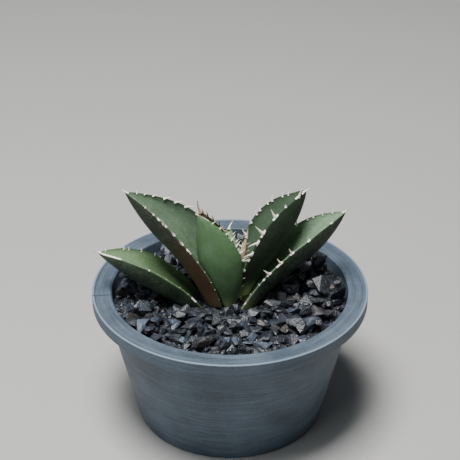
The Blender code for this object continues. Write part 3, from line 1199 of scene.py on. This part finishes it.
    def horn_cone(self, surface: Surface, origin: Vector, root: Vector, reach: Vector, hook: Vector,
                  way: Vector, thick: float, broad: float, share: float, seed: float,
                  stain: float = 1.0) -> None:
        """Adds a tapering, bending cone of horn.

        Args:
            surface: The mesh being made.
            origin: The middle of the rim's plane.
            root: Where it starts, inside the leaf.
            reach: From the root to the point, before bending.
            hook: How far the point is bent aside.
            way: The direction of its broad side.
            thick: Half thickness at the root.
            broad: Half breadth at the root.
            share: Place along the leaf, for the material.
            seed: Tells its irregularities apart.
            stain: How far the dark colour of the point reaches, from none to all of it.
        """
        rings = []
        for step in range(HORN_RINGS):
            part = step / (HORN_RINGS - 1)
            bent = root + reach * part + hook * part * part
            ahead = (reach + hook * 2 * part).normalized()
            flat = (way - ahead * way.dot(ahead)).normalized()
            thin = ahead.cross(flat)
            shrink = (1 - part) ** HORN_TAPER
            flare = reach.length * HORN_SHOULDER * (1 - part) ** 6
            ring = []
            for corner in range(HORN_SIDES):
                angle = TURN * corner / HORN_SIDES
                rough = noise.noise(Vector((math.cos(angle) * 1.5, part * 4, seed)))
                offset = flat * math.cos(angle) * (broad * shrink + flare + HORN_BLUNTNESS)
                offset += thin * math.sin(angle) * (thick * shrink + flare * 0.3 + HORN_BLUNTNESS)
                ring.append(surface.add(
                    origin + (bent + offset * (1 + HORN_ROUGHNESS * rough)) * MM,
                    along=share, upper=1.0, horn=1.0, rise=part * stain,
                    flow=Vector((corner * 0.4, part * 3.0, seed)), imprint=0.0,
                ))
            rings.append(ring)
        surface.loft(rings)

    def build(self, origin: Vector) -> bpy.types.Object:
        """Makes the leaf with its teeth and its terminal spine.

        Args:
            origin: The middle of the rim's plane.

        Returns:
            The leaf, standing for its CAD node.
        """
        surface = Surface()
        self.build_blade(surface, origin)
        for number, tooth in enumerate(self.teeth):
            self.build_tooth(surface, origin, tooth, self.seed * 10 + number * 1.7)
        centre, way, _, across = self.axes(self.end)
        self.horn_cone(surface, origin, root=centre - way * SPINE_ROOT, reach=way * (self.spine + SPINE_ROOT),
                       hook=Vector(self.spine_bend) * self.spine, way=across, thick=self.spine_radius,
                       broad=self.spine_radius, share=1.0, seed=self.seed + 5.0)
        piece = surface.to_object(self.node + "_blade", self.finish.build())
        reshape(piece, face_out)
        ride(piece, self.slot, self.node)
        return piece


def leaf_shapes() -> list[Leaf]:
    """Lists the eight leaves, outermost first.

    Returns:
        The leaves.
    """
    left, right = Side.LEFT, Side.RIGHT
    return [
        Leaf("leaf_left_low", (-9.5, 0, -10), (-50.0, -1, 15.8), (7.5, 0.5, 11.5), (0.35, 0.12, 0.92),
             8.6, 9.0, 4.5,
             # Painted shade: the very dark back colour stands for the shade on the leaf's underside.
             LeafFinish("leaf_left_low_skin", heart_share=0.1, upper=(0.066, 0.129, 0.049),
                        bloom=(0.23, 0.305, 0.20), back=(0.011, 0.024, 0.010), point=(0.30, 0.11, 0.07),
                        point_share=0.85),
             row(left, (0.77, 0.5), (0.61, 1.0, 0.8), (0.54, 0.5), (0.46, 0.8, 0.8), (0.33, 0.5), (0.24, 0.5))
             + row(right, (0.94, 0.8), (0.81, 1.2), (0.77, 0.8), (0.67, 1.1), (0.55, 1.2), (0.44, 1.2),
                   (0.33, 1.0)),
             base_width=0.65, base_depth=0.45, spine=1.6, horn_cover=-0.15, seed=1.0),
        Leaf("leaf_left_high", (-1, 0, -6), (-39.2, 5, 38.2), (13.5, -1, 11.6), (0.77, -0.32, 0.59),
             9.8, 11.5, 4.5,
             # Painted shade: the very dark back colour stands for the shade on the leaf's underside.
             LeafFinish("leaf_left_high_skin", blush_share=0.95, heart_share=0.1, bloom_share=0.7,
                        upper=(0.047, 0.092, 0.044), bloom=(0.165, 0.23, 0.17), back=(0.014, 0.021, 0.012),
                        blush=(0.120, 0.062, 0.034), point_share=0.15),
             row(left, (0.93, 0.7), (0.86, 1.0, 1.0), (0.80, 1.2, 0.8), (0.71, 3.2, 0.55), (0.63, 2.4, 0.55),
                 (0.55, 2.8, 0.6), (0.46, 1.2, 0.5), (0.38, 0.9, 0.4), (0.29, 0.6), (0.20, 0.6), (0.14, 0.5))
             + row(right, (0.93, 0.9, 0.5), (0.89, 1.2, -0.5), (0.84, 1.4, -0.6), (0.775, 2.8, -0.9),
                   (0.705, 3.1, -0.9), (0.635, 3.2, -0.9), (0.55, 2.4, -0.6), (0.46, 2.2, -0.5), (0.36, 2.0)),
             base_width=0.62, base_depth=0.8, taper=2.1, keel_taper=3.0, twist=16.0, spine=1.8,
             spine_bend=(-0.2, 0.0, 0.5), horn_cover=-0.45, seed=2.0),
        Leaf("leaf_right_low", (2.4, -2.2, -9.4), (43.9, 9.2, 27.6), (-8.6, -0.5, 10.2),
             (-0.665, -0.113, 0.738), 8.0, 9.4, 3.5,
             # Painted shade: the very dark back colour stands for the shade on the leaf's underside.
             LeafFinish("leaf_right_low_skin", upper=(0.060, 0.115, 0.055), bloom_share=0.7,
                        back=(0.012, 0.022, 0.010), point=(0.30, 0.20, 0.07), point_share=0.7),
             row(right, (0.83, 0.8, 0.3), (0.70, 2.0, 0.15), (0.56, 2.8, 0.1), (0.46, 2.8, 0.1),
                 (0.35, 3.4, 0.05), (0.25, 0.9), (0.16, 0.8))
             + row(left, (0.92, 1.2, 0.5), (0.86, 1.0, 0.4), (0.80, 1.6, 0.6), (0.76, 1.4, 0.5),
                   (0.68, 1.9, 0.5), (0.60, 1.8), (0.50, 1.8), (0.40, 1.6)),
             base_width=0.45, base_depth=0.5, widest=0.58, spine=1.8, margin=0.08, horn_cover=-0.55,
             tooth_spread=0.12, tooth_lift=0.95, seed=3.0),
        Leaf("leaf_right_high", (2.8, 2.2, -4), (28.9, 12, 35.2), (-13.0, -1, 6.5), (-0.86, -0.06, 0.5),
             9.6, 11.6, 4.0,
             # Painted shade: this leaf's upper face, bloom and back are much darker copies of the other
             # leaves' greens.
             LeafFinish("leaf_right_high_skin", upper=(0.024, 0.051, 0.023), bloom=(0.078, 0.117, 0.079),
                        bloom_share=0.55, back=(0.010, 0.020, 0.009), point_share=0.1),
             row(right, (0.93, 3.0, 0.9), (0.83, 1.2), (0.73, 4.0, 0.15), (0.58, 4.8, 0.1), (0.50, 3.4, -0.8),
                 (0.40, 3.2, -0.6), (0.34, 2.2, -0.3), (0.24, 1.9), (0.14, 1.6), (0.06, 1.3))
             + row(left, (0.88, 1.4, 0.5), (0.84, 1.6, 0.5), (0.76, 2.0, 0.6), (0.72, 1.6, 0.4),
                   (0.64, 2.2, 0.5), (0.60, 1.8, 0.4), (0.52, 2.4, 0.6), (0.42, 2.6, 0.4), (0.32, 2.0)),
             base_width=0.4, base_depth=0.4, widest=0.55, taper=2.7, twist=-6.0, sway=(-0.9, 0, 1.1),
             spine=1.6, spine_bend=(0.5, 0.0, 0.2), horn_cover=-0.5, tooth_spread=0.12, tooth_lift=0.95,
             seed=4.0),
        Leaf("leaf_back", (-3, 7, -4), (-0.3, 23, 13.2), (0, 0, 4), (0, -0.6, 1), 5.0, 4.5, 3.0,
             LeafFinish("leaf_back_skin", bloom_share=0.6),
             row(left, (0.85, 1.6), (0.68, 2.2), (0.50, 2.0), (0.35, 1.6))
             + row(right, (0.85, 1.6), (0.70, 2.0), (0.55, 2.2), (0.38, 1.6)),
             taper=1.8, spine=3.2, spine_bend=(0.5, 0.0, 0.2), spine_radius=0.4, seed=5.0),
        Leaf("leaf_front", (-0.4, -2, -7), (-12.0, -2, 32.4), (4.8, -1, 0.6), (0, 1, 0.2), 7.9, 4.6, 3.5,
             LeafFinish("leaf_front_skin", back=(0.056, 0.116, 0.048), bloom_share=0.40),
             row(left, (0.87, 1.0), (0.80, 1.4), (0.73, 1.6), (0.66, 2.6, 0.5), (0.59, 2.8, 0.5),
                 (0.52, 3.0, 0.3), (0.45, 2.2), (0.36, 1.8), (0.27, 1.5), (0.19, 1.2)),
             base_width=0.42, widest=0.45, taper=2.1, flare=1.15, scallop=9.0,
             tooth_spread=0.85, tooth_lift=0.30, keel_taper=1.6, spine=1.4, seed=6.0),
        Leaf("leaf_inner", (-0.8, 2, -2), (-11.5, 3.0, 31.4), (4.6, 1, 1.2), (0, -1, 0.2), 5.2, 3.0, 2.2,
             LeafFinish("leaf_inner_skin", upper=(0.16, 0.15, 0.06), back=(0.12, 0.08, 0.04),
                        horn=(0.52, 0.37, 0.29), horn_shade=(0.30, 0.15, 0.10), point=(0.12, 0.045, 0.03),
                        point_share=0.6),
             row(left, (0.95, 2.4, 1.2), (0.89, 2.8, 1.1), (0.81, 2.8, 1.0), (0.73, 3.0, 0.8), (0.64, 2.4),
                 (0.52, 2.0))
             + row(right, (0.95, 2.4, 1.2), (0.89, 2.8, 1.1), (0.82, 2.8, 1.0), (0.74, 3.0, 0.8), (0.66, 2.4),
                   (0.55, 2.0)),
             base_width=0.5, taper=1.6, keel_taper=1.6, spine=5.0, spine_bend=(0.42, 0.0, 0.15),
             spine_radius=0.5, tooth_stain=0.9, slot="young_leaf_skin", seed=7.0),
        Leaf("leaf_cone", (1.2, 0.8, -2), (6.4, 0.3, 22.5), (0.5, 0, 0), (0.5, 1, 0), 1.8, 1.9, 1.6,
             LeafFinish("leaf_cone_skin", upper=(0.40, 0.32, 0.19), back=(0.46, 0.36, 0.24),
                        horn=(0.74, 0.62, 0.50), point=(0.16, 0.06, 0.035), point_share=0.6),
             row(left, (0.85, 1.4), (0.72, 1.8), (0.60, 2.0), (0.48, 1.8), (0.36, 1.6), (0.24, 1.4))
             + row(right, (0.80, 1.4), (0.66, 1.6), (0.52, 1.6), (0.40, 1.4)),
             base_width=0.7, taper=1.6, keel_taper=1.6, spine=3.4, spine_radius=0.5,
             slot="young_leaf_skin", seed=8.0),
    ]


# ---------------------------------------------------------------- stones

# Shares of a fragment's size, save for the angle and the paces of its roughness.
NARROWEST, BROADEST = 0.62, 0.95
NEAREST_CORNER, FARTHEST_CORNER = 0.40, 0.50
COPLANAR = math.radians(16)
LONG_EDGE = 0.2
FRACTURE = ((5, 0.05), (12, 0.03))
PLAIN_GROUND = {"tone": 0.15, "tint": 0.4}


@dataclass
class Fragment:
    """A prototype of an angular fragment, about one unit across.

    Attributes:
        points: Its vertices.
        faces: Its faces.
        thick: Its height.
    """

    points: list[Vector]
    faces: list[tuple[int, ...]]
    thick: float

    @classmethod
    def crushed(cls, chance: random.Random, corners: int, flatness: float, rounding: float) -> "Fragment":
        """Breaks a fragment: the hull of random corners, with its edges taken off.

        Args:
            chance: Seeded random source.
            corners: How many corners the hull starts from.
            flatness: Height over width.
            rounding: How much of each edge is taken off; none if zero.

        Returns:
            The fragment.
        """
        shape = bmesh.new()
        stretch = chance.uniform(NARROWEST, BROADEST)
        for _ in range(corners):
            way = Vector([chance.gauss(0, 1) for _ in range(3)]).normalized()
            way *= chance.uniform(NEAREST_CORNER, FARTHEST_CORNER)
            shape.verts.new((way.x, way.y * stretch, way.z * flatness))
        hull = bmesh.ops.convex_hull(shape, input=shape.verts)
        spare = [item for item in hull["geom_interior"] + hull["geom_unused"]
                 if isinstance(item, bmesh.types.BMVert) and item.is_valid]
        bmesh.ops.delete(shape, geom=list(set(spare)), context="VERTS")
        bmesh.ops.dissolve_limit(shape, angle_limit=COPLANAR, verts=shape.verts, edges=shape.edges)
        if rounding:
            bmesh.ops.bevel(shape, geom=list(shape.edges), offset=rounding, segments=1, affect="EDGES",
                            clamp_overlap=True)
            bmesh.ops.triangulate(shape, faces=shape.faces)
            long = [edge for edge in shape.edges if edge.calc_length() > LONG_EDGE]
            bmesh.ops.subdivide_edges(shape, edges=long, cuts=1, use_grid_fill=True)
            shift = Vector((chance.uniform(0, 50), chance.uniform(0, 50), 0))
            for vert in shape.verts:
                vert.co *= 1 + sum(noise.noise(vert.co * pace + shift) * height for pace, height in FRACTURE)
        bmesh.ops.triangulate(shape, faces=shape.faces)
        bmesh.ops.recalc_face_normals(shape, faces=shape.faces)
        points = [vert.co.copy() for vert in shape.verts]
        faces = [tuple(vert.index for vert in face.verts) for face in shape.faces]
        shape.free()
        heights = [point.z for point in points]
        return cls(points, faces, max(heights) - min(heights))


@dataclass(frozen=True)
class Layer:
    """One layer of loose fragments.

    Attributes:
        name: The piece's name.
        count: How many are dropped.
        smallest: Least size, in millimetres.
        largest: Greatest size, in millimetres.
        tilt: Spread of their lean, in radians.
        bury: Share of the height that sinks between the ones below.
        heap: Height over the CAD bed above which none may lie, in metres.
        large: Whether they are stones and not grit.
        clearance: How near a leaf one may come, as a share of its size.
    """

    name: str
    count: int
    smallest: float
    largest: float
    tilt: float
    bury: float
    heap: float = 1.0
    large: bool = False
    clearance: float = 0.35


LAYERS_BELOW = (
    Layer("grit_fine", 1200, 1.6, 3.0, 0.9, 0.5),
    Layer("stones_loose", 380, 5.6, 13.0, 0.45, 0.36, large=True, clearance=0.36),
)
LAYERS_ABOVE = (
    Layer("grit_middle", 340, 2.2, 4.2, 0.7, 0.40, 1.6 * MM),
    Layer("grit_top", 300, 1.0, 2.2, 0.9, 0.3, 2.0 * MM),
)


@dataclass
class Dressing:
    """The crushed stone on top: a rough bed, loose grit and larger stones.

    Attributes:
        pot: The pot that holds it.
        material: The stones' material.
        seed: Seed of all that is left to chance.
        cell: Cell of the height field.
        ground_drop: How far the ground lies under the CAD bed's top in the middle.
        climb: How much it climbs towards the wall.
        climb_start: Radius where the climb starts.
        climb_run: How far it takes.
        footprint: Radius that a fragment rests on, as a share of its own.
        heap_share: How far a fragment raises the heap over its middle, as a share of its height.
        likely_small: Greater if more fragments of a layer are near its least size.
        spread: Below a half if fragments gather at the wall.
        bed_rings: Rings of the bed.
        bed_spokes: Points of each ring.
    """

    pot: Pot
    material: bpy.types.Material
    seed: int = 29
    cell: float = 1.0 * MM
    ground_drop: float = 0.9 * MM
    climb: float = 2.1 * MM
    climb_start: float = 16 * MM
    climb_run: float = 20 * MM
    footprint: float = 0.8
    heap_share: float = 0.34
    likely_small: float = 1.8
    spread: float = 0.41
    bed_rings: int = 90
    bed_spokes: int = 200

    def __post_init__(self) -> None:
        """Breaks the prototype fragments and starts a level height field."""
        self.chance = random.Random(self.seed)
        self.small = [Fragment.crushed(self.chance, 9, self.chance.uniform(0.45, 0.9), 0.0)
                      for _ in range(24)]
        self.large = [Fragment.crushed(self.chance, 11, self.chance.uniform(0.36, 0.80), 0.012)
                      for _ in range(36)]
        low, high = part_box("stone_bed")
        self.bed_low, self.bed_top = low.z, high.z
        self.reach = self.pot.wall_radius(self.bed_top) + 0.3 * MM
        self.cells = math.ceil(self.reach / self.cell) + 1
        side = 2 * self.cells + 1
        self.heights = [[self.base_level(math.hypot(x - self.cells, y - self.cells) * self.cell)
                         for y in range(side)] for x in range(side)]

    def base_level(self, radius: float) -> float:
        """Height of the ground under the loose stones: it climbs towards the wall."""
        climb = self.climb * smooth_step((radius - self.climb_start) / self.climb_run)
        return self.bed_top - self.ground_drop + climb

    def _span(self, centre: Vector, radius: float) -> list[tuple[int, int]]:
        """Finds the height field's cells under a round footprint.

        Args:
            centre: The footprint's middle.
            radius: Its radius.

        Returns:
            Column and line of each cell.
        """
        found = []
        reach = max(1, math.ceil(radius / self.cell))
        column = round(centre.x / self.cell) + self.cells
        line = round(centre.y / self.cell) + self.cells
        for right in range(-reach, reach + 1):
            for up in range(-reach, reach + 1):
                if right * right + up * up <= (radius / self.cell) ** 2 + 0.5:
                    x, y = column + right, line + up
                    if 0 <= x < len(self.heights) and 0 <= y < len(self.heights):
                        found.append((x, y))
        return found

    def ground(self, centre: Vector, radius: float) -> float:
        """Mean height of the heap under a footprint."""
        span = self._span(centre, radius * self.footprint)
        return sum(self.heights[x][y] for x, y in span) / len(span)

    def settle(self, centre: Vector, radius: float, thick: float, bury: float) -> float:
        """Lets a fragment rest on what is already there and raises the heap under it.

        Args:
            centre: Where it is dropped.
            radius: Its footprint.
            thick: Its height.
            bury: Share of its height that sinks between the ones below.

        Returns:
            Height of the fragment's middle.
        """
        middle = self.ground(centre, radius) + thick * (0.5 - bury)
        for x, y in self._span(centre, radius * self.footprint):
            self.heights[x][y] = max(self.heights[x][y], middle + thick * self.heap_share)
        return middle

    def stone(self, surface: Surface, kind: Fragment, centre: Vector, size: float, tilt: float) -> None:
        """Adds one turned and scaled fragment with a tone of its own.

        Args:
            surface: The mesh being made.
            kind: The prototype.
            centre: Where its middle lies.
            size: Its size, in metres.
            tilt: Spread of its lean, in radians.
        """
        values = {"tone": self.tone_of(centre), "tint": self.chance.random()}
        spin = Matrix.Rotation(self.chance.uniform(0, TURN), 3, "Z")
        lean = self.chance.gauss(0, tilt)
        axis = Vector((self.chance.gauss(0, 1), self.chance.gauss(0, 1), 0.01)).normalized()
        turned = Matrix.Rotation(lean, 3, axis) @ spin
        first = len(surface.points)
        for point in kind.points:
            surface.add(centre + (turned @ point) * size, **values)
        surface.faces.extend(tuple(first + index for index in face) for face in kind.faces)

    def tone_of(self, place: Vector) -> float:
        """Picks a fragment's tone: mostly dark, a few pale, and darker towards the right, where shade is
        painted in.

        Args:
            place: Where it lies.

        Returns:
            The tone, from zero to one.
        """
        pale = self.chance.random() ** 3.0
        # Painted shade: fragments towards the right, under the leaves, get a darker tone.
        painted_shade = 0.16 * smooth_step(place.x / (30 * MM))
        return 0.17 - painted_shade + 0.82 * pale

    def coarseness(self, place: Vector) -> float:
        """How coarse the stones lie: coarse to the left and right, finer at the front."""
        angle = math.atan2(place.y, place.x)
        return 1.0 - 0.25 * max(0.0, math.cos(angle + math.pi / 2)) ** 2

    def scatter(self, layer: Layer, leaves: Sequence[BVHTree]) -> None:
        """Drops a layer of loose fragments as one piece.

        Args:
            layer: The layer.
            leaves: The leaves' surfaces, which the fragments keep off.
        """
        surface = Surface()
        kinds = self.large if layer.large else self.small
        smallest, largest = layer.smallest * MM, layer.largest * MM
        for _ in range(layer.count):
            size = smallest + (largest - smallest) * self.chance.random() ** self.likely_small
            ring = self.chance.random() ** self.spread * (self.reach - size * 0.32)
            place = polar(ring, self.chance.uniform(0, TURN))
            size *= self.coarseness(place)
            kind = self.chance.choice(kinds)
            place.z = self.bed_top
            blocked = any(tree.find_nearest(place, size * layer.clearance)[0] is not None for tree in leaves)
            if blocked or self.ground(place, size / 2) > self.bed_top + layer.heap:
                continue
            place.z = self.settle(place, size / 2, kind.thick * size, layer.bury)
            self.stone(surface, kind, place, size, layer.tilt)
        ride(surface.to_object(layer.name, self.material, smooth=False), "lava_grit")

    def bed(self) -> None:
        """Makes the rough ground under the loose stones, which stands for the CAD bed."""
        surface = Surface()
        rows = []
        middle = surface.add(Vector((0, 0, self.base_level(0.0))), **PLAIN_GROUND)
        for ring in range(1, self.bed_rings + 1):
            radius = (self.reach - 0.3 * MM) * ring / self.bed_rings
            numbers = []
            for spoke in range(self.bed_spokes):
                place = polar(radius, TURN * spoke / self.bed_spokes, self.base_level(radius))
                lumps = noise.noise(place * 900) * 0.7 + noise.noise(place * 2300) * 0.4
                place.z += lumps * MM
                numbers.append(surface.add(place, tone=0.20 + 0.2 * lumps, tint=PLAIN_GROUND["tint"]))
            rows.append(numbers)
        surface.fan(rows[0], middle)
        for first, second in zip(rows, rows[1:]):
            surface.sew(second, first)
        outermost = [surface.points[number] for number in rows[-1]]
        skirt = [surface.add(Vector((point.x, point.y, self.bed_low)), **PLAIN_GROUND) for point in outermost]
        surface.sew(skirt, rows[-1])
        below = surface.add(Vector((0, 0, self.bed_low)), **PLAIN_GROUND)
        surface.fan(skirt, below, backwards=True)
        ride(surface.to_object("stone_bed_ground", self.material), "lava_grit", "stone_bed")

    def single_stones(self) -> None:
        """Lays a shaped stone at the place of each of the CAD's own stones."""
        stones = [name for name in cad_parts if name.startswith("stone_") and name != "stone_bed"]
        for name in sorted(stones):
            low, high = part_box(name)
            centre = (low + high) / 2
            size = max(high.x - low.x, high.y - low.y) * 1.12
            kind = self.chance.choice(self.large)
            centre.z = max(self.settle(centre, size / 2, kind.thick * size, 0.30), self.bed_top)
            surface = Surface()
            self.stone(surface, kind, centre, size, 0.30)
            piece = surface.to_object(name.replace("stone", "rock"), self.material, smooth=False)
            ride(piece, "crushed_stone", name)


# ---------------------------------------------------------------- studio


@dataclass
class Studio:
    """Pale floor, soft light from above and the camera.

    Attributes:
        focus: The point that the lights and the camera's place are measured from.
        distance: From there to the camera.
        elevation: The camera's height as an angle, in radians.
        pitch: How far it looks down, in radians.
        lens: Its focal length, in millimetres.
        key_power: Power of the light from above.
        fill_power: Power of the light from the front left.
        sky: Colour of the light from all round.
        sky_strength: Its strength.
    """

    focus: Vector
    distance: float = 0.500
    elevation: float = math.radians(32.03)
    pitch: float = math.radians(29.56)
    lens: float = 102.4
    key_power: float = 20.0
    fill_power: float = 3.0
    sky: Colour = (0.80, 0.86, 0.92)
    sky_strength: float = 0.13

    def camera(self) -> None:
        """Sets the camera at the object's viewing angle."""
        data = bpy.data.cameras.new("camera")
        data.lens = self.lens
        data.clip_start = 0.01
        item = placed("camera", data)
        back = Vector((0, -math.cos(self.elevation), math.sin(self.elevation)))
        item.location = self.focus + back * self.distance
        item.rotation_euler = (math.pi / 2 - self.pitch, 0, 0)
        bpy.context.scene.camera = item

    def lamp(self, name: str, place: Sequence[float], size: float, power: float, colour: Colour) -> None:
        """Adds a square soft light aimed at the plant.

        Args:
            name: Its name.
            place: Its place, from the focus.
            size: Its width, in metres.
            power: Its power.
            colour: Its colour.
        """
        data = bpy.data.lights.new(name, "AREA")
        data.size = size
        data.energy = power
        data.color = colour
        item = placed(name, data)
        item.location = self.focus + Vector(place)
        item.rotation_euler = (-Vector(place)).to_track_quat("-Z", "Y").to_euler()

    def build(self) -> None:
        """Builds the floor, the lights and the camera."""
        bpy.ops.mesh.primitive_plane_add(size=8.0, location=(0, 0, 0))
        floor = bpy.context.object
        floor.name = "floor"
        floor.data.materials.append(FloorFinish().build())
        self.lamp("key", (-0.13, -0.13, 0.88), 0.36, self.key_power, (1.0, 0.985, 0.96))
        self.lamp("fill", (-0.70, -0.75, 0.50), 0.6, self.fill_power, (0.93, 0.97, 1.0))
        world = bpy.data.worlds.new("soft_room")
        world.use_nodes = True
        background = world.node_tree.nodes["Background"].inputs
        background["Color"].default_value = (*self.sky, 1.0)
        background["Strength"].default_value = self.sky_strength
        bpy.context.scene.world = world
        self.camera()


# ---------------------------------------------------------------- whole plant


def dress_kept_nodes() -> None:
    """Gives the CAD nodes that stay their finished materials."""
    kept = {
        "growing_mix": EarthFinish("growing_mix_crumb"),
        "stem_with_roots": EarthFinish("stem_fibre", (0.10, 0.065, 0.035), (0.34, 0.25, 0.15), 800.0),
    }
    for name, finish in kept.items():
        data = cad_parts[name].data
        data.materials.clear()
        data.materials.append(finish.build())
        LOG.info("%s: finish %s", name, finish.name)


def leaf_trees(leaves: Sequence[bpy.types.Object]) -> list[BVHTree]:
    """Makes search trees of the leaves' surfaces.

    Args:
        leaves: The leaves.

    Returns:
        A tree for each leaf.
    """
    graph = bpy.context.evaluated_depsgraph_get()
    graph.update()
    return [BVHTree.FromObject(leaf, graph) for leaf in leaves]


def main() -> None:
    """Builds every piece in order."""
    logging.basicConfig(level=logging.INFO, format="%(message)s")
    pot = Pot()
    pot.build(PotFinish().build())
    dress_kept_nodes()
    origin = Vector((0, 0, pot.top))
    leaves = [leaf.build(origin) for leaf in leaf_shapes()]
    trees = leaf_trees(leaves)
    dressing = Dressing(pot, StoneFinish().build())
    dressing.bed()
    for layer in LAYERS_BELOW:
        dressing.scatter(layer, trees)
    dressing.single_stones()
    for layer in LAYERS_ABOVE:
        dressing.scatter(layer, trees)
    Studio(focus=Vector((0, 0, pot.top))).build()


if __name__ == "__main__":
    main()
